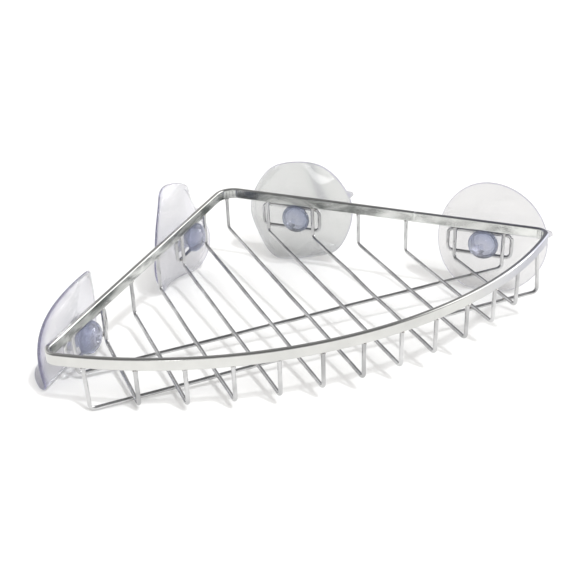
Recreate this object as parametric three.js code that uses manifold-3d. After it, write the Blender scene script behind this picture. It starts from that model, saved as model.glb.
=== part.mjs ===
// Corner shower caddy: a polished-wire quarter-round basket with a flat-bar rim, hung on four
// clear suction cups that slide in wire brackets. Millimetres, +Z up, +Y towards the room's corner.
import * as THREE from "three";
import { mergeVertices } from "three/addons/utils/BufferGeometryUtils.js";
import Module from "manifold-3d";

// ---- driving dimensions ----------------------------------------------------------------------
const PITCH = 20; // centre distance of the eleven floor wires
const WIRES = 11; // floor wires, parallel to Y
const WIRE_D = 2; // all round wire
const GAP = 0.3; // clearance left at every welded or touching contact

const BAR_H = 6; // rim bar, upright
const BAR_T = 2.6;
const BAR_CHAMFER = 0.5;
const RIM_Z = 19.3; // underside of the rim bar above the floor wires' centres
const CORNER_R = 9.8; // centreline radius of the right-angled rear corner
const TIP_R = 6; // centreline radius of the two front tips
const ARC_R = 214.2; // centreline radius of the curved front
const ARC_Y = 29.76; // centre of that arc, behind the corner

const BEND_R = 2.6; // centreline radius of the wires' upright bends
const REAR_WIRE_Y = -118.9; // long cross wire under the floor
const FRONT_WIRE_Y = -149.9; // short cross wire under the floor
const FRONT_WIRE_X = 120.4;

const SLOT_L = 35.4; // bracket, centreline length
const SLOT_H = 13.4; // bracket, centreline height
const SLOT_R = 3; // bracket, centreline corner radius
const SLOT_Z = 10.6; // height of the brackets' middle
const INNER_S = 42.43; // bracket centres along the legs, from the corner
const OUTER_S = 154.8;

const CUP_R = 31.8; // suction cup
const CUP_SEGMENTS = 32;
const HEAD_R = 8.4;
const NECK_R = 5.3;
const LIP_Q = 10.7; // sealing lip's plane, outboard of the uprights' centres
// where each cup stands in its slot, from the slot's middle, positive towards the front
const REST = { left_end: 0, left_corner: -2, right_corner: 3.4, right_end: 2.4 };
const FOLD = { w: -12.5, r: 5.5, q: 9.4, turn: 1.5 }; // the left end cup's lower edge, flexed outwards
const TAB = { w: 5, out: 3, t: 1.1 };
const TAB_TURN = { left_end: 190, left_corner: 168, right_corner: 24, right_end: 14 };

const wasm = await Module();
wasm.setup();

// ---- helpers -----------------------------------------------------------------------------------
const V = (x, y, z) => new THREE.Vector3(x, y, z);

// A curve through given points, stepped point by point, so that straight runs stay one step long.
class Route extends THREE.Curve {
  constructor(points, closed = false) {
    super();
    this.points = points;
    this.closed = closed;
    this.count = closed ? points.length : points.length - 1;
  }
  at(i) {
    const n = this.points.length;
    return this.closed ? this.points[((i % n) + n) % n] : this.points[Math.min(Math.max(i, 0), n - 1)];
  }
  getPoint(t, target = new THREE.Vector3()) {
    const f = t * this.count,
      i = Math.min(Math.floor(f + 1e-9), this.count - (this.closed ? 0 : 1));
    return target.copy(this.at(i)).lerp(this.at(i + 1), Math.max(0, f - i));
  }
  getPointAt(u, target) {
    return this.getPoint(u, target);
  }
  getTangentAt(u, target = new THREE.Vector3()) {
    const i = Math.round(u * this.count),
      a = this.at(i).clone().sub(this.at(i - 1)),
      b = this.at(i + 1).clone().sub(this.at(i));
    if (a.lengthSq() > 0) a.normalize();
    if (b.lengthSq() > 0) b.normalize();
    return target.copy(a.add(b)).normalize();
  }
}

// A polyline with its inner corners rounded to radius r, in steps of the given count.
function rounded(points, r, steps, closed = false) {
  const out = [],
    n = points.length;
  for (let i = 0; i < n; i++) {
    if (!closed && (i === 0 || i === n - 1)) {
      out.push(points[i]);
      continue;
    }
    const p = points[i],
      a = points[(i + n - 1) % n].clone().sub(p).normalize(),
      b = points[(i + 1) % n].clone().sub(p).normalize(),
      half = a.angleTo(b) / 2,
      cut = r / Math.tan(half),
      middle = p.clone().add(a.clone().add(b).normalize().multiplyScalar(r / Math.sin(half))),
      start = p.clone().add(a.clone().multiplyScalar(cut)).sub(middle),
      end = p.clone().add(b.clone().multiplyScalar(cut)).sub(middle),
      sweep = Math.PI - 2 * half,
      axis = start.clone().cross(end).normalize();
    for (let k = 0; k <= steps; k++)
      out.push(start.clone().applyAxisAngle(axis, (sweep * k) / steps).add(middle));
    void end;
  }
  return out;
}

function merged(geometry) {
  const g = geometry.clone();
  g.deleteAttribute("normal");
  g.deleteAttribute("uv");
  return mergeVertices(g, 1e-4);
}

function solid(geometry) {
  const g = merged(geometry);
  return new wasm.Manifold(
    new wasm.Mesh({ numProp: 3, vertProperties: new Float32Array(g.attributes.position.array), triVerts: new Uint32Array(g.index.array) }),
  );
}

function geometryOf(manifold) {
  const m = manifold.getMesh(),
    g = new THREE.BufferGeometry();
  g.setAttribute("position", new THREE.BufferAttribute(Float32Array.from(m.vertProperties), 3));
  g.setIndex(new THREE.BufferAttribute(Uint32Array.from(m.triVerts), 1));
  g.computeVertexNormals();
  return g;
}

// Round wire along a route. A closed route has no end faces.
function wire(points, closed = false) {
  const section = new THREE.Shape();
  const sides = 8;
  for (let k = 0; k < sides; k++) {
    const a = (2 * Math.PI * (k + 0.5)) / sides,
      x = (WIRE_D / 2) * Math.cos(a),
      y = (WIRE_D / 2) * Math.sin(a);
    if (k === 0) section.moveTo(x, y);
    else section.lineTo(x, y);
  }
  const route = new Route(points, closed);
  const g = new THREE.ExtrudeGeometry(section, { steps: route.count, extrudePath: route, bevelEnabled: false });
  if (!closed) return g;
  const sidesOnly = g.groups.find((x) => x.materialIndex === 1),
    open = new THREE.BufferGeometry();
  open.setAttribute(
    "position",
    new THREE.BufferAttribute(g.attributes.position.array.slice(sidesOnly.start * 3, (sidesOnly.start + sidesOnly.count) * 3), 3),
  );
  return open;
}

const frontY = (x, r = ARC_R) => ARC_Y - Math.sqrt(r * r - x * x);

// ---- rim ---------------------------------------------------------------------------------------
// Centre of each front tip's rounding: TIP_R inside the straight leg and inside the front arc.
const tipCentre = (() => {
  // y = -x - TIP_R * sqrt(2), x^2 + (y - ARC_Y)^2 = (ARC_R - TIP_R)^2
  const c = TIP_R * Math.SQRT2 + ARC_Y,
    k = ARC_R - TIP_R;
  const x = (-c + Math.sqrt(2 * k * k - c * c)) / 2;
  return V(x, -x - TIP_R * Math.SQRT2, 0);
})();

function rimOutline(offset) {
  const pts = [];
  const arc = (cx, cy, r, from, to, steps) => {
    for (let k = 0; k <= steps; k++) {
      const a = from + ((to - from) * k) / steps;
      pts.push(new THREE.Vector2(cx + r * Math.cos(a), cy + r * Math.sin(a)));
    }
  };
  const D = Math.PI / 180;
  const toArc = Math.atan2(tipCentre.y - ARC_Y, tipCentre.x); // where tip and front arc meet
  arc(0, -CORNER_R * Math.SQRT2, CORNER_R + offset, 135 * D, 45 * D, 8);
  arc(tipCentre.x, tipCentre.y, TIP_R + offset, 45 * D, toArc, 8);
  arc(0, ARC_Y, ARC_R + offset, toArc, -Math.PI - toArc, 26);
  arc(-tipCentre.x, tipCentre.y, TIP_R + offset, -Math.PI - toArc, -225 * D, 8);
  return pts.filter((p, i) => i === 0 || p.distanceTo(pts[i - 1]) > 0.05);
}

const rimShape = new THREE.Shape(rimOutline(BAR_T / 2 - BAR_CHAMFER));
rimShape.holes.push(new THREE.Path(rimOutline(-BAR_T / 2 + BAR_CHAMFER).reverse()));
const rimGeometry = new THREE.ExtrudeGeometry(rimShape, {
  depth: BAR_H - 2 * BAR_CHAMFER,
  bevelEnabled: true,
  bevelThickness: BAR_CHAMFER,
  bevelSize: BAR_CHAMFER,
  bevelSegments: 1,
  curveSegments: 1,
}).translate(0, 0, RIM_Z + BAR_CHAMFER);

// ---- materials ---------------------------------------------------------------------------------
const bright = (color, roughness) => new THREE.MeshStandardMaterial({ color, roughness, metalness: 1 });
const clear = () =>
  new THREE.MeshStandardMaterial({ color: 0xc9cbd8, roughness: 0.12, metalness: 0, transparent: true, opacity: 0.5 });

const caddy = new THREE.Group();
caddy.name = "corner_shower_caddy";
function put(parent, name, geometry, material) {
  const g = geometry.index ? geometry : geometryOf(solid(geometry));
  const mesh = new THREE.Mesh(g, material);
  mesh.name = name;
  parent.add(mesh);
  return mesh;
}

const basket = new THREE.Group();
caddy.add(basket);
put(basket, "rim_band", rimGeometry, bright(0xc8cac6, 0.12));

// ---- floor wires -------------------------------------------------------------------------------
const topZ = RIM_Z - GAP;
for (let i = 1; i <= WIRES; i++) {
  const x = (i - (WIRES + 1) / 2) * PITCH;
  const rear = x === 0 ? -CORNER_R * (Math.SQRT2 - 1) : -Math.abs(x);
  const path = rounded([V(x, rear, topZ), V(x, rear, 0), V(x, frontY(x), 0), V(x, frontY(x), topZ)], BEND_R, 4);
  put(basket, "floor_wire_" + String(i).padStart(2, "0"), wire(path), bright(0xb9bbb9, 0.16));
}

// ---- cross wires, under the floor wires --------------------------------------------------------
const crossZ = -WIRE_D - GAP;
put(
  basket,
  "cross_wire_rear",
  wire(
    rounded(
      [V(REAR_WIRE_Y, REAR_WIRE_Y, topZ), V(REAR_WIRE_Y, REAR_WIRE_Y, crossZ), V(-REAR_WIRE_Y, REAR_WIRE_Y, crossZ), V(-REAR_WIRE_Y, REAR_WIRE_Y, topZ)],
      BEND_R,
      4,
    ),
  ),
  bright(0xb5b7b5, 0.16),
);
put(
  basket,
  "cross_wire_front",
  wire(
    rounded(
      [
        V(-FRONT_WIRE_X, frontY(FRONT_WIRE_X), topZ),
        V(-FRONT_WIRE_X, FRONT_WIRE_Y, crossZ),
        V(FRONT_WIRE_X, FRONT_WIRE_Y, crossZ),
        V(FRONT_WIRE_X, frontY(FRONT_WIRE_X), topZ),
      ],
      BEND_R,
      4,
    ),
  ),
  bright(0xb5b7b5, 0.16),
);

// ---- wall side: brackets and suction cups ------------------------------------------------------
// Each site is a group whose X runs along the leg towards the front tip, Y points to the wall and Z up
// (on the left leg, X, Y and Z make a left-handed set, so its pieces are built mirrored).
const sites = [
  ["left_end", -1, OUTER_S],
  ["left_corner", -1, INNER_S],
  ["right_corner", 1, INNER_S],
  ["right_end", 1, OUTER_S],
];
const place = (side, s) => (a, q, w) => {
  const along = s + a;
  return V((side * (along + q)) / Math.SQRT2, (q - along) / Math.SQRT2, SLOT_Z + w);
};
function moved(geometry, map, side) {
  const g = geometry,
    p = g.attributes.position;
  for (let i = 0; i < p.count; i++) {
    const v = map(p.getX(i), p.getY(i), p.getZ(i));
    p.setXYZ(i, v.x, v.y, v.z);
  }
  if (side < 0) {
    const k = g.index.array;
    for (let i = 0; i < k.length; i += 3) [k[i + 1], k[i + 2]] = [k[i + 2], k[i + 1]];
  }
  return g;
}

const bracketQ = WIRE_D + GAP;
const slotRoute = rounded(
  [
    V(-SLOT_L / 2, bracketQ, -SLOT_H / 2),
    V(SLOT_L / 2, bracketQ, -SLOT_H / 2),
    V(SLOT_L / 2, bracketQ, SLOT_H / 2),
    V(-SLOT_L / 2, bracketQ, SLOT_H / 2),
  ],
  SLOT_R,
  4,
  true,
);

// Half section of a suction cup: [radius, distance outboard], from the head's dimple to the cup's inside.
const cupProfile = (rings) => [
  [0, -4.1],
  [1.3, -4.3],
  [2.4, -4.8],
  [4.6, -4.3],
  [6.7, -3.1],
  [7.9, -1.4],
  [HEAD_R, 0],
  [8.1, 1],
  [NECK_R, 1],
  [NECK_R, 4.6],
  [6.3, 6.3],
  [8.6, 7.4],
  ...rings.map((r) => [r, 8 + (1.3 * (r - 12)) / 18]),
  [CUP_R, LIP_Q - 0.9],
  [CUP_R, LIP_Q],
  [29, LIP_Q],
  ...rings
    .slice()
    .reverse()
    .filter((r) => r < 28)
    .map((r) => [r, 9.7 + (0.8 * (r - 12)) / 14]),
  [0, 9.6],
];

function cupGeometry(name) {
  const folded = name === "left_end";
  const rings = folded ? [12, 15, 18, 20.5, 23, 25.5, 27.5, 29.5] : [12, 20, 27];
  const lathe = new THREE.LatheGeometry(
    cupProfile(rings).map(([r, q]) => new THREE.Vector2(r, q)),
    folded ? 48 : CUP_SEGMENTS,
  );
  let body = solid(lathe);
  if (body.volume() < 0) throw new Error("cup profile runs the wrong way");
  // pull tab on the lip
  const turn = (TAB_TURN[name] * Math.PI) / 180;
  const tabShape = new THREE.Shape([
    new THREE.Vector2(CUP_R - 2, -TAB.w / 2),
    new THREE.Vector2(CUP_R + TAB.out - 1, -TAB.w / 2),
    new THREE.Vector2(CUP_R + TAB.out, -TAB.w / 2 + 1),
    new THREE.Vector2(CUP_R + TAB.out, TAB.w / 2 - 1),
    new THREE.Vector2(CUP_R + TAB.out - 1, TAB.w / 2),
    new THREE.Vector2(CUP_R - 2, TAB.w / 2),
  ]);
  // lathe axis is Y: the tab lies in its XZ plane
  const tab = new THREE.ExtrudeGeometry(tabShape, { depth: TAB.t - 0.3, bevelEnabled: false })
    .rotateX(Math.PI / 2)
    .translate(0, LIP_Q - 0.1, 0)
    .rotateY(-turn);
  body = body.add(solid(tab));
  const g = geometryOf(body);
  if (folded) {
    const p = g.attributes.position;
    for (let i = 0; i < p.count; i++) {
      const t = FOLD.w - p.getZ(i);
      if (t <= 0) continue;
      const e = p.getY(i) - FOLD.q,
        phi = Math.min(t / FOLD.r, FOLD.turn),
        rest = Math.max(0, t - FOLD.r * phi);
      p.setZ(i, FOLD.w - (FOLD.r - e) * Math.sin(phi) - rest * Math.cos(phi));
      p.setY(i, FOLD.q + FOLD.r - (FOLD.r - e) * Math.cos(phi) + rest * Math.sin(phi));
    }
  }
  return g;
}

for (const [name, side, s] of sites) {
  const ring = merged(wire(slotRoute, true));
  put(basket, "bracket_" + name, moved(ring, place(side, s), side), bright(0xbdbfbd, 0.16));
  const cup = cupGeometry(name);
  put(caddy, "suction_cup_" + name, moved(cup, place(side, s + REST[name]), side), clear());
}

// ---- origin: middle of the footprint, at the lowest point --------------------------------------
const box = new THREE.Box3().setFromObject(caddy, true);
caddy.position.set(-(box.min.x + box.max.x) / 2, -(box.min.y + box.max.y) / 2, -box.min.z);

export default caddy;
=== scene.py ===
import math

import bpy
import numpy as np
from mathutils import Matrix, Vector

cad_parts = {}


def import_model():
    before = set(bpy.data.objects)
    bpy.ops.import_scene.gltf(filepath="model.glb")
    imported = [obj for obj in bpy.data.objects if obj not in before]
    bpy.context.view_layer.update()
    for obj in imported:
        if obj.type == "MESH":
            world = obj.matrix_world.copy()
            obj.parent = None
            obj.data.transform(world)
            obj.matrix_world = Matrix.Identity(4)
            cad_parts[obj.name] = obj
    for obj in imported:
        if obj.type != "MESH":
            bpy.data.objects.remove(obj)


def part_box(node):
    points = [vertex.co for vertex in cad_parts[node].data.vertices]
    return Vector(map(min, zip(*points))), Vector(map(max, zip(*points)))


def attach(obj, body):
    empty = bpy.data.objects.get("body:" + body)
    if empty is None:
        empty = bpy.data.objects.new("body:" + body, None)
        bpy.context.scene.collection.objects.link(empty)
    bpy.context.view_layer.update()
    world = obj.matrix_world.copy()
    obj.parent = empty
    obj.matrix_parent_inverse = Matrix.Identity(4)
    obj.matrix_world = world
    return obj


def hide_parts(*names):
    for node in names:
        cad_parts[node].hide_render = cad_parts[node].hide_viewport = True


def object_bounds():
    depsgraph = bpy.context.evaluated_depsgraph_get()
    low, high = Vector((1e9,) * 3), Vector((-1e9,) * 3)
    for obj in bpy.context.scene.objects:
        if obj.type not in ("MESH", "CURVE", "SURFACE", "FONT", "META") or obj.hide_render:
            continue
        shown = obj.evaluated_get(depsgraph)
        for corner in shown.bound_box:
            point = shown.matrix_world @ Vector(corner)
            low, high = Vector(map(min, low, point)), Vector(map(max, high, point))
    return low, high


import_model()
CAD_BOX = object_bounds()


# ---------------------------------------------------------------- basket frame, in millimetres
# X = 0 on the corner's bisector, Y = 0 at the sharp rear corner, Z = 0 at the floor wires' centres.
BAR_H, BAR_T = 6.0, 2.6
RIM_Z = 19.3
CORNER_R, TIP_R = 9.8, 6.0
ARC_R, ARC_Y = 214.2, 29.76
WIRE_R = 1.0
BEND_R = 2.6
PITCH = 20.0
SLOT_L, SLOT_H, SLOT_R, SLOT_Z = 35.4, 13.4, 3.0, 10.6
S_END, S_CORNER = 154.8, 42.43
CUP_R, HEAD_R, NECK_R = 31.8, 8.4, 5.3

lo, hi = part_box("rim_band")
ORIGIN = np.array([(lo.x + hi.x) / 2 * 1000, lo.y * 1000 + (ARC_R - ARC_Y) + BAR_T / 2, lo.z * 1000 - RIM_Z])


def world(p):
    """Basket-frame millimetres to scene metres."""
    return (np.asarray(p, float) + ORIGIN) / 1000.0


REST = {"left_end": 0.0, "left_corner": -2.0, "right_corner": 3.4, "right_end": 2.4}
SITES = {"left_end": (-1, S_END), "left_corner": (-1, S_CORNER), "right_corner": (1, S_CORNER), "right_end": (1, S_END)}
R2 = math.sqrt(2)


def front_y(x, r=ARC_R):
    return ARC_Y - math.sqrt(r * r - x * x)


# ---------------------------------------------------------------- the surface it stands on
def plane_through(a, b, c):
    n = np.cross(b - a, c - a)
    n /= np.linalg.norm(n)
    return (n if n[2] > 0 else -n), a


def site_point(side, s, a, q, w):
    al = s + a
    return np.array([side * (al + q) / R2, (q - al) / R2, SLOT_Z + w])


REST_A = np.array([-119.0, -150.3, -3.15])  # left front bend of the front cross wire
REST_B = np.array([118.0, -104.0, -21.7])  # under the right end's cup
REST_C = np.array([41.0, -33.0, -22.4])  # under the right corner's cup
TABLE_N, TABLE_P = plane_through(REST_A, REST_B, REST_C)


def table_z(x, y):
    return TABLE_P[2] - (TABLE_N[0] * (x - TABLE_P[0]) + TABLE_N[1] * (y - TABLE_P[1])) / TABLE_N[2]


# ---------------------------------------------------------------- mesh helpers
def make(name, verts, faces, mats, smooth=True, face_mats=None, local=True):
    me = bpy.data.meshes.new(name)
    v = world(verts) if local else np.asarray(verts)
    me.from_pydata([tuple(p) for p in v], [], [tuple(int(i) for i in f) for f in faces])
    me.validate()
    for m in mats if isinstance(mats, (list, tuple)) else [mats]:
        me.materials.append(m)
    if smooth:
        me.polygons.foreach_set("use_smooth", [True] * len(me.polygons))
    if face_mats is not None:
        me.polygons.foreach_set("material_index", face_mats)
    me.update()
    o = bpy.data.objects.new(name, me)
    bpy.context.scene.collection.objects.link(o)
    return o


class Builder:
    def __init__(self):
        self.v, self.f = [], []
        self.n = 0

    def add(self, verts, faces):
        verts = np.asarray(verts, float)
        self.v.append(verts)
        self.f += [tuple(i + self.n for i in f) for f in faces]
        self.n += len(verts)

    def verts(self):
        return np.concatenate(self.v)


def frames(path, closed=False):
    path = np.asarray(path, float)
    n = len(path)
    if closed:
        t = np.roll(path, -1, 0) - np.roll(path, 1, 0)
    else:
        t = np.zeros_like(path)
        t[1:-1] = path[2:] - path[:-2]
        t[0], t[-1] = path[1] - path[0], path[-1] - path[-2]
    t /= np.linalg.norm(t, axis=1)[:, None]
    ref = np.array([1.0, 0, 0]) if abs(t[0][0]) < 0.7 else np.array([0, 1.0, 0])
    u = np.zeros_like(t)
    u[0] = ref - t[0] * (ref @ t[0])
    u[0] /= np.linalg.norm(u[0])
    for i in range(1, n):
        w = u[i - 1] - t[i] * (u[i - 1] @ t[i])
        u[i] = w / np.linalg.norm(w)
    v = np.cross(t, u)
    return t, u, v


def tube(path, radius, sides=20, closed=False, dome=0.35):
    """Round wire along a path; radius may vary. Open ends get a slightly domed cap."""
    path = np.asarray(path, float)
    n = len(path)
    r = np.broadcast_to(np.asarray(radius, float), (n,)).copy()
    t, u, v = frames(path, closed)
    a = np.linspace(0, 2 * math.pi, sides, endpoint=False)
    ring = np.cos(a)[None, :, None] * u[:, None, :] + np.sin(a)[None, :, None] * v[:, None, :]
    verts = (path[:, None, :] + r[:, None, None] * ring).reshape(-1, 3)
    faces = []
    m = n if closed else n - 1
    for i in range(m):
        j = (i + 1) % n
        for k in range(sides):
            k2 = (k + 1) % sides
            faces.append((i * sides + k, i * sides + k2, j * sides + k2, j * sides + k))
    verts = list(verts)
    if not closed:
        for end, sgn in ((0, -1), (n - 1, 1)):
            base = [end * sides + k for k in range(sides)]
            prev = base
            for f, out in ((0.86, 0.45), (0.5, 0.85)):
                start = len(verts)
                for k in range(sides):
                    verts.append(path[end] + r[end] * f * ring[end, k] + sgn * t[end] * r[end] * dome * out)
                cur = list(range(start, start + sides))
                for k in range(sides):
                    k2 = (k + 1) % sides
                    q = (prev[k], prev[k2], cur[k2], cur[k])
                    faces.append(q if sgn > 0 else q[::-1])
                prev = cur
            verts.append(path[end] + sgn * t[end] * r[end] * dome)
            c = len(verts) - 1
            for k in range(sides):
                k2 = (k + 1) % sides
                q = (prev[k], prev[k2], c)
                faces.append(q if sgn > 0 else q[::-1])
    return np.array(verts), faces


def blob(centre, rx, ry, rz, axes=None, seg=14, rings=9, noise=0.06, seed=0):
    """A small weld nugget: an uneven ellipsoid."""
    rg = np.random.default_rng(seed)
    ax = np.eye(3) if axes is None else np.asarray(axes, float)
    ph = rg.uniform(0, 6.28, 4)
    verts, faces = [], []
    for i in range(rings + 1):
        th = math.pi * i / rings
        for k in range(seg if 0 < i < rings else 1):
            a = 2 * math.pi * k / seg
            d = np.array([math.sin(th) * math.cos(a), math.sin(th) * math.sin(a), math.cos(th)])
            w = 1 + noise * (math.sin(3 * a + ph[0]) * math.sin(th) + math.sin(2 * th + ph[1]) + 0.6 * math.sin(5 * a + ph[2]) * math.sin(th) ** 2)
            verts.append(centre + ax.T @ (d * w * np.array([rx, ry, rz])))
    def idx(i, k):
        if i == 0:
            return 0
        if i == rings:
            return 1 + (rings - 1) * seg
        return 1 + (i - 1) * seg + k % seg
    for i in range(rings):
        for k in range(seg):
            a, b, c, d = idx(i, k), idx(i + 1, k), idx(i + 1, k + 1), idx(i, k + 1)
            if i == 0:
                faces.append((a, b, c))
            elif i == rings - 1:
                faces.append((a, b, d))
            else:
                faces.append((a, b, c, d))
    return np.array(verts), faces


def rounded_path(points, r, steps=10, closed=False, straight=4.0):
    pts = [np.asarray(p, float) for p in points]
    n = len(pts)
    out = []
    for i in range(n):
        if not closed and i in (0, n - 1):
            out.append(pts[i][None])
            continue
        p = pts[i]
        a = pts[(i - 1) % n] - p
        b = pts[(i + 1) % n] - p
        a /= np.linalg.norm(a)
        b /= np.linalg.norm(b)
        half = math.acos(max(-1, min(1, a @ b))) / 2
        cut = r / math.tan(half)
        mid = p + (a + b) / np.linalg.norm(a + b) * (r / math.sin(half))
        s = p + a * cut - mid
        e = p + b * cut - mid
        k = np.linspace(0, 1, steps + 1)
        om = math.acos(max(-1, min(1, (s @ e) / (r * r))))
        arc = (np.sin((1 - k) * om)[:, None] * s + np.sin(k * om)[:, None] * e) / math.sin(om) + mid
        out.append(arc)
    res = []
    m = len(out)
    for i in range(m):
        res.append(out[i])
        if i < m - 1 or closed:
            a, b = out[i][-1], out[(i + 1) % m][0]
            L = np.linalg.norm(b - a)
            c = max(1, int(L / straight))
            if c > 1:
                k = np.linspace(0, 1, c + 1)[1:-1]
                res.append(a + (b - a) * k[:, None])
    return np.concatenate(res)


def wander(path, amp, length=60.0, seed=0, pin=True):
    """Slight unevenness of bent wire, zero at both ends."""
    rg = np.random.default_rng(seed)
    d = np.concatenate([[0], np.cumsum(np.linalg.norm(np.diff(path, axis=0), axis=1))])
    L = d[-1]
    out = np.array(path, float)
    env = np.sin(np.pi * d / L) ** 0.5 if pin else 1.0
    for ax in range(3):
        y = sum(rg.normal() * np.sin(2 * np.pi * d / (length * k) + rg.uniform(0, 6.28)) for k in (0.6, 1.0, 2.1)) / 2
        out[:, ax] += amp * y * env * (0.5 if ax == 2 else 1.0)
    return out


# ---------------------------------------------------------------- materials
def nodes_of(name):
    m = bpy.data.materials.new(name)
    m.use_nodes = True
    nt = m.node_tree
    bsdf = next(n for n in nt.nodes if n.type == "BSDF_PRINCIPLED")
    return m, nt, bsdf


def ramp(nt, fac, stops):
    r = nt.nodes.new("ShaderNodeValToRGB")
    cr = r.color_ramp
    while len(cr.elements) < len(stops):
        cr.elements.new(0.5)
    for e, (p, c) in zip(cr.elements, stops):
        e.position = p
        e.color = (*c, 1) if len(c) == 3 else c
    nt.links.new(fac, r.inputs["Fac"])
    return r.outputs["Color"]


def noise(nt, vec, scale, detail=3.0, rough=0.5, distortion=0.0):
    n = nt.nodes.new("ShaderNodeTexNoise")
    n.inputs["Scale"].default_value = scale
    n.inputs["Detail"].default_value = detail
    n.inputs["Roughness"].default_value = rough
    n.inputs["Distortion"].default_value = distortion
    nt.links.new(vec, n.inputs["Vector"])
    return n.outputs["Fac"]


def mapping(nt, scale=(1, 1, 1), rot=(0, 0, 0)):
    tc = nt.nodes.new("ShaderNodeTexCoord")
    mp = nt.nodes.new("ShaderNodeMapping")
    mp.inputs["Scale"].default_value = scale
    mp.inputs["Rotation"].default_value = rot
    nt.links.new(tc.outputs["Object"], mp.inputs["Vector"])
    return mp.outputs["Vector"]


def maprange(nt, fac, a, b, c, d):
    n = nt.nodes.new("ShaderNodeMapRange")
    n.inputs["From Min"].default_value = a
    n.inputs["From Max"].default_value = b
    n.inputs["To Min"].default_value = c
    n.inputs["To Max"].default_value = d
    nt.links.new(fac, n.inputs["Value"])
    return n.outputs["Result"]


def bump(nt, height, strength, dist, normal=None):
    b = nt.nodes.new("ShaderNodeBump")
    b.inputs["Strength"].default_value = strength
    b.inputs["Distance"].default_value = dist
    nt.links.new(height, b.inputs["Height"])
    if normal is not None:
        nt.links.new(normal, b.inputs["Normal"])
    return b.outputs["Normal"]


def steel(name, dark, light, r0, r1, wav=0.25, scale=1.0, squash=1.0, painted_highlight_from=None, painted_dark_reflection=None):
    """Polished stainless steel: cloudy reflectance, uneven polish, long soft waves and fine hairlines."""
    m, nt, b = nodes_of(name)
    vec = mapping(nt)
    cloud = noise(nt, mapping(nt, (1, 1, squash)), 38 * scale, 4, 0.55, 0.3 * squash)
    if painted_highlight_from is not None:  # painted highlight: the right leg is painted brighter towards its tip
        sep = nt.nodes.new("ShaderNodeSeparateXYZ")
        nt.links.new(vec, sep.inputs[0])
        painted_tip_highlight = maprange(nt, sep.outputs["X"], painted_highlight_from, painted_highlight_from + 0.05, 0.0, 0.26)
        add = nt.nodes.new("ShaderNodeMath")
        add.operation = "ADD"
        nt.links.new(cloud, add.inputs[0])
        nt.links.new(painted_tip_highlight, add.inputs[1])
        cloud = add.outputs[0]
    col = ramp(nt, cloud, [(0.34, dark), (0.66, light)])
    if painted_dark_reflection is not None:  # painted reflection: the bar's colour is painted bluer and darker from one place along it to another
        x0, x1, tone = painted_dark_reflection
        sep = nt.nodes.new("ShaderNodeSeparateXYZ")
        nt.links.new(vec, sep.inputs[0])
        mx = nt.nodes.new("ShaderNodeMix")
        mx.data_type = "RGBA"
        nt.links.new(maprange(nt, sep.outputs["X"], x0, x1, 0.0, 0.9), mx.inputs["Factor"])
        nt.links.new(col, mx.inputs[6])
        mx.inputs[7].default_value = (*tone, 1)
        col = mx.outputs[2]
    nt.links.new(col, b.inputs["Base Color"])
    b.inputs["Metallic"].default_value = 1.0
    pol = noise(nt, vec, 120 * scale, 5, 0.6)
    nt.links.new(maprange(nt, pol, 0.3, 0.7, r0, r1), b.inputs["Roughness"])
    wave = noise(nt, mapping(nt, (1, 1, 0.35)), 24 * scale, 1.5, 0.4, 0.4)
    hair = noise(nt, mapping(nt, (1, 1, 9)), 900, 2, 0.5)
    n1 = bump(nt, wave, wav, 0.004)
    n2 = bump(nt, hair, 0.05, 0.0002, n1)
    nt.links.new(n2, b.inputs["Normal"])
    return m


# the outer bar carries a painted darker, bluer reflection along part of its length
BAR = steel("polished_bar_outer_painted_reflection", (0.60, 0.60, 0.585), (0.71, 0.71, 0.69), 0.06, 0.12, 0.10, painted_dark_reflection=(0.055, 0.115, (0.36, 0.365, 0.43)))
# the inner faces get a darker, streakier copy of the bar steel: painted shade and painted reflections, with a painted
# highlight towards the right leg's tip
BAR_IN_PAINTED_SHADE = steel("polished_bar_inner_painted_shade", (0.12, 0.13, 0.125), (0.78, 0.79, 0.77), 0.06, 0.14, 0.8, squash=3.0, painted_highlight_from=0.045)
WIRE = steel("polished_wire", (0.42, 0.42, 0.425), (0.68, 0.68, 0.685), 0.08, 0.16, 0.15, 1.6)
WELD = steel("weld_metal", (0.36, 0.34, 0.31), (0.62, 0.60, 0.56), 0.18, 0.34, 0.2, 4.0)


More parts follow.
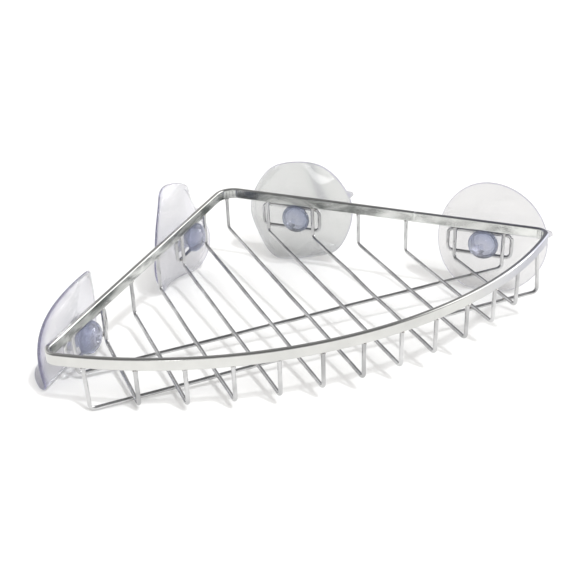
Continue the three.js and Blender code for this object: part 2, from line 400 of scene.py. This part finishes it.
def vinyl(name, tint, deep=0.93, r0=0.03, r1=0.09):
    """Clear soft PVC: cloudy tint, uneven gloss, moulding flow, and a violet body colour where it is seen through its
    depth; painted shade darkens the head's rim and dimple, and a painted dark reflection band greys the disc.
    """
    m, nt, b = nodes_of(name)
    vec = mapping(nt)
    cloud = noise(nt, vec, 24, 3, 0.5, 0.9)
    t = np.array(tint)
    body = ramp(nt, cloud, [(0.3, tuple(t * deep)), (0.7, tuple(np.minimum(t * 1.04, 1)))])
    edge = nt.nodes.new("ShaderNodeAttribute")
    edge.attribute_name = "lip"
    mx = nt.nodes.new("ShaderNodeMix")
    mx.data_type = "RGBA"
    nt.links.new(edge.outputs["Fac"], mx.inputs["Factor"])
    nt.links.new(body, mx.inputs[6])
    mx.inputs[7].default_value = (0.20, 0.18, 0.36, 1)
    # depth tint of the head and neck, with painted shade at the head's rim and in its dimple's floor
    depth_tint_and_painted_shade = nt.nodes.new("ShaderNodeAttribute")
    depth_tint_and_painted_shade.attribute_name = "depth_tint_and_painted_shade"
    mh = nt.nodes.new("ShaderNodeMix")
    mh.data_type = "RGBA"
    nt.links.new(depth_tint_and_painted_shade.outputs["Fac"], mh.inputs["Factor"])
    nt.links.new(mx.outputs[2], mh.inputs[6])
    mh.inputs[7].default_value = (0.30, 0.36, 0.52, 1)
    # painted reflection: a dark band across the disc, and greyer towards the bottom
    painted_band_and_dark_foot = nt.nodes.new("ShaderNodeAttribute")
    painted_band_and_dark_foot.attribute_name = "painted_band_and_dark_foot"
    mf = nt.nodes.new("ShaderNodeMix")
    mf.data_type = "RGBA"
    nt.links.new(painted_band_and_dark_foot.outputs["Fac"], mf.inputs["Factor"])
    nt.links.new(mh.outputs[2], mf.inputs[6])
    mf.inputs[7].default_value = (0.36, 0.37, 0.38, 1)
    nt.links.new(mf.outputs[2], b.inputs["Base Color"])
    b.inputs["Transmission Weight"].default_value = 0.88
    b.inputs["IOR"].default_value = 1.48
    flat = nt.nodes.new("ShaderNodeAttribute")
    flat.attribute_name = "flat"
    nt.links.new(maprange(nt, flat.outputs["Fac"], 0.0, 1.0, 0.8, 0.3), b.inputs["Alpha"])
    gloss = nt.nodes.new("ShaderNodeAttribute")
    gloss.attribute_name = "moulded"
    nt.links.new(maprange(nt, gloss.outputs["Fac"], 0.0, 1.0, 0.16, 0.7), b.inputs["Specular IOR Level"])
    pol = noise(nt, vec, 160, 4, 0.6)
    nt.links.new(maprange(nt, pol, 0.3, 0.7, r0, r1), b.inputs["Roughness"])
    flow = noise(nt, vec, 26, 2, 0.4, 0.8)
    n1 = bump(nt, flow, 0.2, 0.004)
    fine = noise(nt, vec, 520, 3, 0.5)
    nt.links.new(bump(nt, fine, 0.04, 0.0003, n1), b.inputs["Normal"])
    vol = nt.nodes.new("ShaderNodeVolumeAbsorption")
    vol.inputs["Color"].default_value = (0.52, 0.55, 0.69, 1)
    vol.inputs["Density"].default_value = 98
    out = next(n for n in nt.nodes if n.type == "OUTPUT_MATERIAL")
    nt.links.new(vol.outputs["Volume"], out.inputs["Volume"])
    return m


# the four cups are one clear vinyl; each disc's tint also paints the shade and reflection it shows, the right corner's
# darkest
VINYLS = {
    "left_end": vinyl("clear_vinyl_left_end", (0.96, 0.95, 0.97), 0.96),
    "left_corner": vinyl("clear_vinyl_left_corner", (0.91, 0.90, 0.915), 0.93),
    "right_corner": vinyl("clear_vinyl_right_corner", (0.70, 0.705, 0.685), 0.88),
    "right_end": vinyl("clear_vinyl_right_end", (0.82, 0.81, 0.80), 0.94),
}


# ---------------------------------------------------------------- rim bar
def rim_samples():
    c = TIP_R * R2 + ARC_Y
    k = ARC_R - TIP_R
    tx = (-c + math.sqrt(2 * k * k - c * c)) / 2
    ty = -tx - TIP_R * R2
    to = math.atan2(ty - ARC_Y, tx)
    pts = []  # (x, y, nx, ny, run)

    def arc(cx, cy, r, a0, a1, n):
        for a in np.linspace(a0, a1, n):
            pts.append((cx + r * math.cos(a), cy + r * math.sin(a), math.cos(a), math.sin(a)))

    def line(p, q, nx, ny, at):
        p, q = np.array(p), np.array(q)
        for t in at:
            x, y = p + (q - p) * t
            pts.append((x, y, nx, ny))

    D = math.pi / 180
    leg_a = (CORNER_R / R2, -CORNER_R * R2 + CORNER_R / R2)
    leg_b = (tx + TIP_R / R2, ty + TIP_R / R2)
    L = math.hypot(leg_b[0] - leg_a[0], leg_b[1] - leg_a[1])
    ts = sorted(set(np.round(np.linspace(0, 1, int(L / 2.5)), 6)) | set(np.round((SEAM_AT - 8 + np.linspace(-1.6, 1.6, 25)) / L, 6)))
    arc(0, -CORNER_R * R2, CORNER_R, 135 * D, 45 * D, 22)
    line(leg_a, leg_b, 1 / R2, 1 / R2, [t for t in ts if 0 < t < 1])
    arc(tx, ty, TIP_R, 45 * D, to, 22)
    arc(0, ARC_Y, ARC_R, to, -math.pi - to, 150)
    arc(-tx, ty, TIP_R, -math.pi - to, -225 * D, 22)
    line((-leg_b[0], leg_b[1]), (-leg_a[0], leg_a[1]), -1 / R2, 1 / R2, [t for t in np.linspace(0, 1, int(L / 2.5)) if 0 < t < 1])
    out = [pts[0]]
    for p in pts[1:]:
        if math.hypot(p[0] - out[-1][0], p[1] - out[-1][1]) > 0.05:
            out.append(p)
    if math.hypot(out[0][0] - out[-1][0], out[0][1] - out[-1][1]) < 0.05:
        out.pop()
    return np.array(out)


SEAM_AT = 117.5  # weld seam, along the right leg from the sharp corner


def bar_profile(h, t, r, seg=6, hold=0.12):
    """Upright rounded rectangle: [outward, up] round its edge, with holding points next to each rounding."""
    p = []
    for cx, cz, a0 in ((t / 2 - r, h - r, 0), (-t / 2 + r, h - r, 90), (-t / 2 + r, r, 180), (t / 2 - r, r, 270)):
        a = np.radians(a0)
        d0 = np.array([-math.sin(a), math.cos(a)])  # direction of travel at the start
        s = np.array([cx + r * math.cos(a), cz + r * math.sin(a)])
        p.append(s - d0 * hold)
        for k in range(seg + 1):
            b = np.radians(a0 + 90 * k / seg)
            p.append(np.array([cx + r * math.cos(b), cz + r * math.sin(b)]))
        b = np.radians(a0 + 90)
        d1 = np.array([-math.sin(b), math.cos(b)])
        p.append(p[-1] + d1 * hold)
    return np.array(p)


def build_rim():
    S = rim_samples()
    prof = bar_profile(BAR_H, BAR_T, 0.85)
    n, m = len(S), len(prof)
    d = np.concatenate([[0], np.cumsum(np.hypot(*np.diff(S[:, :2], axis=0).T))])
    verts, faces, fm = [], [], []
    seam = np.array([SEAM_AT / R2, -SEAM_AT / R2])
    for i in range(n):
        x, y, nx, ny = S[i]
        ds = math.hypot(x - seam[0], y - seam[1]) if x > 0 and y > -134 else 99
        swell = 0.20 * math.exp(-((ds / 0.5) ** 2)) - 0.09 * math.exp(-(((ds - 1.1) / 0.35) ** 2))
        wob = 0.035 * math.sin(d[i] / 31) + 0.025 * math.sin(d[i] / 13 + 1)
        for o, z in prof:
            zz = BAR_H / 2 + (z - BAR_H / 2) * (1 + swell * 0.4)
            oo = o * (1 + swell) + wob
            verts.append((x + nx * oo, y + ny * oo, RIM_Z + zz))
    for i in range(n):
        j = (i + 1) % n
        for k in range(m):
            k2 = (k + 1) % m
            faces.append((i * m + k, j * m + k, j * m + k2, i * m + k2))
            mid = (prof[k] + prof[k2]) / 2
            # inner faces take the darker copy of the steel, with its painted shade and reflections
            fm.append(1 if mid[0] < -BAR_T / 2 + 0.08 else 0)
    o = make("rim_bar_fine", np.array(verts), faces, [BAR, BAR_IN_PAINTED_SHADE], face_mats=fm)
    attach(o, "basket")
    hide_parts("rim_band")
    return o


# ---------------------------------------------------------------- wires
def flare(path, top_ends=(True, True), amount=0.28, length=1.1):
    d = np.concatenate([[0], np.cumsum(np.linalg.norm(np.diff(path, axis=0), axis=1))])
    L = d[-1]
    r = np.full(len(path), WIRE_R)
    if top_ends[0]:
        r += amount * np.exp(-((d / length) ** 2))
    if top_ends[1]:
        r += amount * np.exp(-(((L - d) / length) ** 2))
    return r


def densify_ends(path, extra=(0.35, 0.8, 1.4, 2.2, 3.2)):
    a, b = path[0], path[1]
    u = (b - a) / np.linalg.norm(b - a)
    head = [a] + [a + u * e for e in extra if e < np.linalg.norm(b - a) - 0.2]
    c, d = path[-1], path[-2]
    v = (d - c) / np.linalg.norm(d - c)
    tail = [c + v * e for e in reversed(extra) if e < np.linalg.norm(d - c) - 0.2] + [c]
    return np.concatenate([np.array(head), path[1:-1], np.array(tail)])


TOP = RIM_Z + 0.12


def finish_wire(name, node, builder, face_mats=None, body="basket", mats=None):
    o = make(name, builder.verts(), builder.f, mats or [WIRE, WELD], face_mats=face_mats)
    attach(o, body)
    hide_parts(node)
    return o


def weld_top(B, fm, x, y, seed):
    v, f = blob(np.array([x, y, TOP - 0.15]), 1.42, 1.3, 0.42, seed=seed, noise=0.09)
    B.add(v, f)
    fm += [1] * len(f)


CROSS = {"rear": -118.9, "front": -149.9}
CROSS_Z = -1.88


def build_floor_wires():
    for i in range(1, 12):
        x = (i - 6) * PITCH
        rear = -CORNER_R * (R2 - 1) if i == 6 else -abs(x)
        fy = front_y(x)
        path = rounded_path([(x, rear, TOP), (x, rear, 0), (x, fy, 0), (x, fy, TOP)], BEND_R + 0.2, 10)
        path = densify_ends(path)
        path = wander(path, 0.09, 70, seed=100 + i)
        B = Builder()
        v, f = tube(path, flare(path))
        fm = []
        B.add(v, f)
        fm += [0] * len(f)
        weld_top(B, fm, x, rear, 10 + i)
        weld_top(B, fm, x, fy, 40 + i)
        for key, cy in CROSS.items():
            if rear > cy > fy:
                v, f = blob(np.array([x, cy, CROSS_Z / 2]), 1.15, 1.15, 0.62, seed=200 + i, noise=0.08)
                B.add(v, f)
                fm += [1] * len(f)
        finish_wire(f"floor_wire_{i:02d}_fine", f"floor_wire_{i:02d}", B, fm)


def build_cross_wires():
    y = CROSS["rear"]
    path = rounded_path([(y, y, TOP), (y, y, CROSS_Z), (-y, y, CROSS_Z), (-y, y, TOP)], BEND_R + 0.2, 10)
    path = wander(densify_ends(path), 0.10, 90, seed=301)
    B, fm = Builder(), []
    v, f = tube(path, flare(path))
    B.add(v, f)
    fm += [0] * len(f)
    weld_top(B, fm, y, y, 71)
    weld_top(B, fm, -y, y, 72)
    finish_wire("cross_wire_rear_fine", "cross_wire_rear", B, fm)
    y, X = CROSS["front"], 120.4
    fy = front_y(X)
    path = rounded_path([(-X, fy, TOP), (-X, y, CROSS_Z), (X, y, CROSS_Z), (X, fy, TOP)], BEND_R + 0.2, 10)
    path = wander(densify_ends(path), 0.10, 90, seed=302)
    B, fm = Builder(), []
    v, f = tube(path, flare(path))
    B.add(v, f)
    fm += [0] * len(f)
    weld_top(B, fm, -X, fy, 73)
    weld_top(B, fm, X, fy, 74)
    finish_wire("cross_wire_front_fine", "cross_wire_front", B, fm)


def build_brackets():
    q = 2 * WIRE_R - 0.06
    for name, (side, s) in SITES.items():
        loc = rounded_path(
            [(-SLOT_L / 2, q, -SLOT_H / 2), (SLOT_L / 2, q, -SLOT_H / 2), (SLOT_L / 2, q, SLOT_H / 2), (-SLOT_L / 2, q, SLOT_H / 2)],
            SLOT_R, 10, closed=True, straight=3.0)
        rg = np.random.default_rng(int(s) + side)
        loc = loc + 0.05 * np.stack([np.sin(loc[:, 0] / 5 + rg.uniform(0, 6)), np.sin(loc[:, 2] / 4 + rg.uniform(0, 6)) * 0.6, np.cos(loc[:, 0] / 7 + rg.uniform(0, 6))], 1)
        pts = np.array([site_point(side, s, *p) for p in loc])
        B, fm = Builder(), []
        v, f = tube(pts, WIRE_R, closed=True)
        B.add(v, f)
        fm += [0] * len(f)
        ups = [20 * k * R2 for k in range(1, 6)] + [118.9 * R2]
        for up in ups:
            if abs(up - s) < SLOT_L / 2:
                for w in (-SLOT_H / 2, SLOT_H / 2):
                    c = site_point(side, s, up - s, WIRE_R, w)
                    v, f = blob(c, 1.05, 0.62, 1.05, axes=[[side / R2, -1 / R2, 0], [side / R2, 1 / R2, 0], [0, 0, 1]], seed=int(up) + (3 if w > 0 else 0), noise=0.08)
                    B.add(v, f)
                    fm += [1] * len(f)
        finish_wire(f"bracket_{name}_fine", f"bracket_{name}", B, fm)


# ---------------------------------------------------------------- suction cups
def smooth_profile(pts, sub=4):
    """Catmull-Rom through control points; a repeated point is a sharp corner."""
    P = [np.array(p, float) for p in pts]
    out = []
    for i in range(len(P) - 1):
        p1, p2 = P[i], P[i + 1]
        if np.allclose(p1, p2):
            continue
        p0 = P[i - 1] if i > 0 and not np.allclose(P[i - 1], p1) else p1 - (p2 - p1)
        p3 = P[i + 2] if i + 2 < len(P) and not np.allclose(P[i + 2], p2) else p2 + (p2 - p1)
        for k in range(sub):
            t = k / sub
            out.append(0.5 * ((2 * p1) + (-p0 + p2) * t + (2 * p0 - 5 * p1 + 4 * p2 - p3) * t * t + (-p0 + 3 * p1 - 3 * p2 + p3) * t ** 3))
    out.append(P[-1])
    out = np.array(out)
    out[:, 0] = np.maximum(out[:, 0], 0)
    return out


HEAD_PTS = [
    (0, -3.7), (0.8, -3.72), (1.5, -3.95), (2.1, -4.35), (2.8, -4.62), (3.8, -4.5), (5.2, -3.95), (6.6, -3.05), (7.6, -2.0), (8.2, -0.8),
    (HEAD_R, 0.2), (8.3, 0.75), (7.9, 1.0), (6.4, 1.08), (NECK_R + 0.25, 1.1),
]
NECK_PTS = [(NECK_R, 1.4), (NECK_R - 0.05, 2.4), (NECK_R, 4.2), (NECK_R + 0.35, 5.4), (6.6, 6.6), (8.6, 7.5), (10.6, 8.0)]


def cup_profile():
    inner = smooth_profile(HEAD_PTS + NECK_PTS, 3)
    rr = np.concatenate([np.arange(11.4, 30.6, 0.8), [30.9]])
    front = np.array([[r, 8.05 + 1.25 * ((r - 10.6) / 20.4) ** 1.3] for r in rr])
    lip = smooth_profile([(31.3, 9.42), (31.62, 9.62), (CUP_R - 0.02, 9.95), (31.72, 10.3), (31.4, 10.46), (30.6, 10.5), (29.4, 10.45), (28.8, 10.3)], 3)
    back = np.array([[r, 9.12 + 1.05 * (r / 28.6) ** 2] for r in np.arange(28.2, 0.4, -0.8)])
    return np.concatenate([inner[:-1], front, lip, back, [[0, 9.12]]])


LIP_SIDE = {"left_end": 0.95, "left_corner": 0.5}
# painted reflection: a darker band painted from one point of the disc to another where a dark reflection falls: its
# half width, its depth, and how much greyer the foot is, the disc being darker towards the bottom
PAINTED_BAND_AND_DARK_FOOT = {
    "right_corner": ((6, 30), (17, 7), 3.0, 0.72, 0.36),
    "right_end": ((-22, 8), (-6, 3), 2.0, 0.10, 0.06),
    "left_corner": ((6, -12), (-6, -24), 6.0, 0.16, 0.10),
}


def build_cup(name, deform, seg=112, tab_turn=0.0):
    side, s = SITES[name]
    s = s + REST[name]
    prof = cup_profile()
    n = len(prof)
    verts, faces = [], []
    tt = math.radians(tab_turn)
    for i, (r, q) in enumerate(prof):
        if r < 1e-6:
            verts.append((0, q, 0))
            continue
        for k in range(seg):
            a = 2 * math.pi * k / seg
            rr = r
            if r > 29.0:  # the pull tab grows out of the lip
                da = (a - tt + math.pi) % (2 * math.pi) - math.pi
                x = abs(da) * CUP_R / 2.4
                g = max(0.0, 1 - x ** 4) if x < 1 else 0.0
                rr = r + 3.0 * g ** 0.5 * min(1, (r - 29.0) / 2.4)
            verts.append((rr * math.cos(a), q, rr * math.sin(a)))
    starts = []
    c = 0
    for r, q in prof:
        starts.append(c)
        c += 1 if r < 1e-6 else seg
    for i in range(n - 1):
        a0, b0 = starts[i], starts[i + 1]
        ra, rb = prof[i][0] < 1e-6, prof[i + 1][0] < 1e-6
        for k in range(seg):
            k2 = (k + 1) % seg
            if ra:
                f = (a0, b0 + k, b0 + k2)
            elif rb:
                f = (a0 + k, b0, a0 + k2)
            else:
                f = (a0 + k, b0 + k, b0 + k2, a0 + k2)
            faces.append(f)
    v = deform(np.array(verts, float))
    pts = np.array([site_point(side, s, *p) for p in v])
    # rest on the surface: nothing goes through it
    tz = table_z(pts[:, 0], pts[:, 1]) + 0.02
    pts[:, 2] = np.maximum(pts[:, 2], tz)
    o = make(f"suction_cup_{name}_fine", pts, faces, VINYLS[name])
    me = o.data
    # the cut lip reads as a dark violet line that fades inwards; the head is darker with its depth and painted darker
    # at its rim and in its dimple's floor as shade; a painted dark reflection band greys part of the disc, which is
    # also greyer towards the bottom
    lip, depth_tint_and_painted_shade, painted_band_and_dark_foot = [], [], []
    for x, q, w in verts:
        r = math.hypot(x, w)
        g = max(0.0, min(1.0, (r - 31.2) / 0.5)) * 0.85 * max(0.25, min(1.0, (33.0 - r) / 0.9))
        g += LIP_SIDE.get(name, 0.0) * max(0.0, x / max(r, 1e-6)) ** 0.6 * max(0.0, min(1.0, (r - 25.5) / 6.0)) ** 1.6
        lip.append(min(g, 1.0))
        if q < 1.2:
            t = max(0.0, min(1.0, (r - 3.0) / 4.6))
            # painted shade: the dimple's floor (r < 1.2) and the head's rim are darkened as if shadowed, over the
            # head's depth tint
            depth_tint_and_painted_shade.append(0.02 + 0.60 * t * t * (3 - 2 * t) if r > 1.2 else 0.55)
        else:
            depth_tint_and_painted_shade.append(0.45 * max(0.0, 1 - (q - 1.2) / 5.0) if r < 8 else 0.0)
        # painted reflection band across the disc, plus greyer towards the bottom
        g = 0.0
        if r > 9 and name in PAINTED_BAND_AND_DARK_FOOT:
            (xa, wa), (xb, wb), wide, deep_, low = PAINTED_BAND_AND_DARK_FOOT[name]
            t = max(0.0, min(1.0, ((x - xa) * (xb - xa) + (w - wa) * (wb - wa)) / ((xb - xa) ** 2 + (wb - wa) ** 2)))
            d = math.hypot(x - xa - t * (xb - xa), w - wa - t * (wb - wa))
            g = deep_ * math.exp(-((d / wide) ** 2)) + low * max(0.0, min(1.0, (-w - 4) / 24))
        painted_band_and_dark_foot.append(g)
    above = pts[:, 2] - table_z(pts[:, 0], pts[:, 1])
    flat = [float(max(0.0, min(1.0, (3.2 - h) / 1.6))) for h in above]
    for key, val in (("lip", lip), ("depth_tint_and_painted_shade", depth_tint_and_painted_shade), ("painted_band_and_dark_foot", painted_band_and_dark_foot), ("flat", flat), ("moulded", [1.0 if q < 1.2 else 0.0 for _, q, _w in verts])):
        me.attributes.new(key, "FLOAT", "POINT").data.foreach_set("value", val)
    import bmesh
    bm = bmesh.new()
    bm.from_mesh(me)
    bmesh.ops.recalc_face_normals(bm, faces=bm.faces)
    bm.to_mesh(me)
    bm.free()
    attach(o, f"cup_{name}")
    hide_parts(f"suction_cup_{name}")
    return o


# How far each disc's rim bows outboard, as a Fourier series round the rim in millimetres: the mean, then cos and sin of each order; last, how far the disc hangs off its neck along the leg and upwards.
BOW = {
    "left_end": [0.77, -4.14, -6.1, 0.87, 0.37, -0.66, 2.05, 0.2, -0.02],
    "left_corner": [1.14, -0.46, 1.02, -3.11, -2.59, -1.01, 1.72, 1.68, -0.98, 0.3, 0.35, -0.6, -0.47, 2.72, -1.32],
    "right_corner": [5.12, 2.36, 3.36, 0.16, -0.96, -1.22, 1.67, -0.02, 1.36, 1.89, -0.24, -2.54, -2.23],
    "right_end": [-0.35, -1.52, 4.77, 0.18, -1.7, 2.12, -0.58],
}


def bend(name, fr=4.0, lip=1.0):
    """The soft disc bows by its Fourier series, and where it meets the surface it turns outwards and lies on it."""
    side, s = SITES[name]
    s = s + REST[name]
    c = BOW[name]

    def f(v):
        v = v.copy()
        a, q, w = v[:, 0].copy(), v[:, 1].copy(), v[:, 2].copy()
        r = np.hypot(a, w)
        th = np.arctan2(w, a)
        rho = np.minimum(r / CUP_R, 1.0)
        m = np.clip((q - 2.0) / 5.0, 0, 1)
        m = m * m * (3 - 2 * m)
        k = c[0] * rho ** 2
        for n in range(1, (len(c) - 3) // 2 + 1):
            k = k + rho ** max(n, 1.25) * (c[2 * n - 1] * np.cos(n * th) + c[2 * n] * np.sin(n * th))
        mid = 8.6 + 1.25 * np.clip((r - 10.6) / 20.4, 0, 1) ** 1.3
        e = np.clip(q - mid, -0.7, 0.9)
        q = q + k * m
        a = a + c[-2] * m
        w = w + c[-1] * m
        if name == "right_end":
            a = np.where(a < 0, a * (1 - 0.055 * m), a)
        X = side * (s + a + q) / R2
        Y = (q - s - a) / R2
        wt = table_z(X, Y) - SLOT_Z + 0.12
        base = q - e
        t = fr - (w - wt)
        low = (t > 0) & (m > 0.9)
        phi = np.minimum(t / fr, 1.52)
        rest = np.maximum(0, t - fr * phi) * lip
        w = np.where(low, wt + fr - (fr - e) * np.sin(phi) - rest * np.cos(phi), w)
        q = np.where(low, base + fr - (fr - e) * np.cos(phi) + rest * np.sin(phi), q)
        # the surface rises or falls outboard, so the turned lip follows it
        X2 = side * (s + a + q) / R2
        Y2 = (q - s - a) / R2
        w = np.where(low, w + (table_z(X2, Y2) - table_z(X, Y)) * np.clip(phi / 1.52, 0, 1), w)
        return np.stack([a, q, w], 1)
    return f


# ---------------------------------------------------------------- build everything
build_rim()
build_floor_wires()
build_cross_wires()
build_brackets()
build_cup("left_end", bend("left_end", 4.5, 0.6), tab_turn=190)
build_cup("left_corner", bend("left_corner", 2.5, 0.0), tab_turn=175)
build_cup("right_corner", bend("right_corner", 3.0), tab_turn=24)
build_cup("right_end", bend("right_end", 3.0), tab_turn=14)

# ---------------------------------------------------------------- stage
def floor_material():
    m, nt, b = nodes_of("pale_surface")
    vec = mapping(nt)
    c = noise(nt, vec, 3, 2)
    nt.links.new(ramp(nt, c, [(0.3, (0.88, 0.88, 0.88)), (0.7, (0.895, 0.895, 0.895))]), b.inputs["Base Color"])
    b.inputs["Roughness"].default_value = 0.55
    b.inputs["Specular IOR Level"].default_value = 0.25
    return m


def build_floor():
    n = TABLE_N
    u = np.array([1.0, 0, 0])
    u -= n * (u @ n)
    u /= np.linalg.norm(u)
    v = np.cross(n, u)
    c = TABLE_P.copy()
    c = c - n * 0.05
    S = 2500
    ce = c + u * (0 - c[0]) + v * (-100 - c[1])
    verts = [ce + u * a * S + v * b * S for a, b in ((-1, -1), (1, -1), (1, 1), (-1, 1))]
    o = make("floor", np.array(verts), [(0, 1, 2, 3)], floor_material(), smooth=False)


build_floor()

# ---------------------------------------------------------------- camera, as in the photograph
CAM = np.array([-173.6, -522.8, 259.82])
right = np.array([0.91766, -0.39593, -0.03376])
up = np.array([0.22043, 0.43652, 0.87228])
fwd = np.array([0.33063, 0.80789, -0.48785])
cam = bpy.data.cameras.new("camera")
cam.lens, cam.sensor_width = 61.49, 36.0
cam.clip_start, cam.clip_end = 0.01, 50
co = bpy.data.objects.new("camera", cam)
bpy.context.scene.collection.objects.link(co)
M = np.eye(4)
M[:3, 0], M[:3, 1], M[:3, 2], M[:3, 3] = right, up, -fwd, world(CAM)
co.matrix_world = Matrix(M.tolist())
bpy.context.scene.camera = co

# ---------------------------------------------------------------- light
sc = bpy.context.scene
sc.view_settings.view_transform = "Standard"
sc.view_settings.look = "None"


def world_light():
    """Even white light all round. Polished surfaces see a darker room with one large soft box at the right."""
    w = bpy.data.worlds.new("studio")
    sc.world = w
    w.use_nodes = True
    nt = w.node_tree
    for x in list(nt.nodes):
        nt.nodes.remove(x)
    out = nt.nodes.new("ShaderNodeOutputWorld")
    bg = nt.nodes.new("ShaderNodeBackground")
    nt.links.new(bg.outputs[0], out.inputs[0])
    tc = nt.nodes.new("ShaderNodeTexCoord")
    sep = nt.nodes.new("ShaderNodeSeparateXYZ")
    nt.links.new(tc.outputs["Generated"], sep.inputs[0])

    def dot(d):
        n = nt.nodes.new("ShaderNodeVectorMath")
        n.operation = "DOT_PRODUCT"
        d = Vector(d).normalized()
        n.inputs[1].default_value = d
        nt.links.new(tc.outputs["Generated"], n.inputs[0])
        return n.outputs["Value"]

    def step(v, lo_, hi_, to):
        n = nt.nodes.new("ShaderNodeMapRange")
        n.interpolation_type = "SMOOTHSTEP"
        n.inputs["From Min"].default_value = lo_
        n.inputs["From Max"].default_value = hi_
        n.inputs["To Min"].default_value = 0
        n.inputs["To Max"].default_value = to
        nt.links.new(v, n.inputs["Value"])
        return n.outputs["Result"]

    def add(x, y):
        n = nt.nodes.new("ShaderNodeMath")
        n.operation = "ADD"
        nt.links.new(x, n.inputs[0])
        nt.links.new(y, n.inputs[1])
        return n.outputs[0]

    room = nt.nodes.new("ShaderNodeValToRGB")
    el = room.color_ramp.elements
    stops = [(0.0, 0.85), (0.50, 0.75), (0.57, 0.55), (0.70, 0.40), (0.85, 0.24), (1.0, 0.18)]
    while len(el) < len(stops):
        el.new(0.5)
    for e, (p, g) in zip(el, stops):
        e.position = p
        e.color = (g, g, g * 1.01, 1)
    mr = nt.nodes.new("ShaderNodeMapRange")
    mr.inputs["From Min"].default_value = -1
    mr.inputs["From Max"].default_value = 1
    nt.links.new(sep.outputs["Z"], mr.inputs["Value"])
    nt.links.new(mr.outputs["Result"], room.inputs["Fac"])
    box = add(step(dot((0.86, 0.05, 0.42)), 0.80, 0.90, 1.7), step(dot((-0.45, -0.85, 0.55)), 0.93, 0.97, 0.3))
    box = add(box, step(dot((-0.40, 0.78, 0.46)), 0.86, 0.95, 0.55))
    box = add(box, step(dot((0.95, -0.10, 0.26)), 0.9900, 0.9950, 9.0))
    lamp = add(box, step(dot((-0.50, -0.78, 0.37)), 0.9966, 0.9984, 5.5))
    mixb = nt.nodes.new("ShaderNodeMix")
    mixb.data_type = "RGBA"
    mixb.blend_type = "ADD"
    mixb.inputs["Factor"].default_value = 1.0
    nt.links.new(room.outputs["Color"], mixb.inputs[6])
    comb = nt.nodes.new("ShaderNodeCombineXYZ")
    for i in range(3):
        nt.links.new(lamp, comb.inputs[i])
    nt.links.new(comb.outputs[0], mixb.inputs[7])
    lp = nt.nodes.new("ShaderNodeLightPath")
    mx = nt.nodes.new("ShaderNodeMix")
    mx.data_type = "RGBA"
    nt.links.new(lp.outputs["Is Glossy Ray"], mx.inputs["Factor"])
    mx.inputs[6].default_value = (0.853, 0.842, 0.822, 1)
    nt.links.new(mixb.outputs[2], mx.inputs[7])
    mx2 = nt.nodes.new("ShaderNodeMix")
    mx2.data_type = "RGBA"
    nt.links.new(lp.outputs["Is Camera Ray"], mx2.inputs["Factor"])
    nt.links.new(mx.outputs[2], mx2.inputs[6])
    mx2.inputs[7].default_value = (1, 1, 1, 1)
    nt.links.new(mx2.outputs[2], bg.inputs["Color"])
    bg.inputs["Strength"].default_value = 1.0


world_light()


def sun(name, direction, strength, angle, colour=(1, 1, 1)):
    l = bpy.data.lights.new(name, "SUN")
    l.energy, l.angle, l.color = strength, math.radians(angle), colour
    o = bpy.data.objects.new(name, l)
    sc.collection.objects.link(o)
    d = Vector(direction).normalized()
    o.rotation_mode = "QUATERNION"
    o.rotation_quaternion = d.to_track_quat("-Z", "Y")
    o.visible_glossy = False
    return o


sun("key", (-0.12, 0.80, -1.0), 1.30, 24, (0.985, 0.993, 1.0))
sun("key_sharp", (-0.22, 0.52, -1.0), 0.90, 3, (0.985, 0.993, 1.0))

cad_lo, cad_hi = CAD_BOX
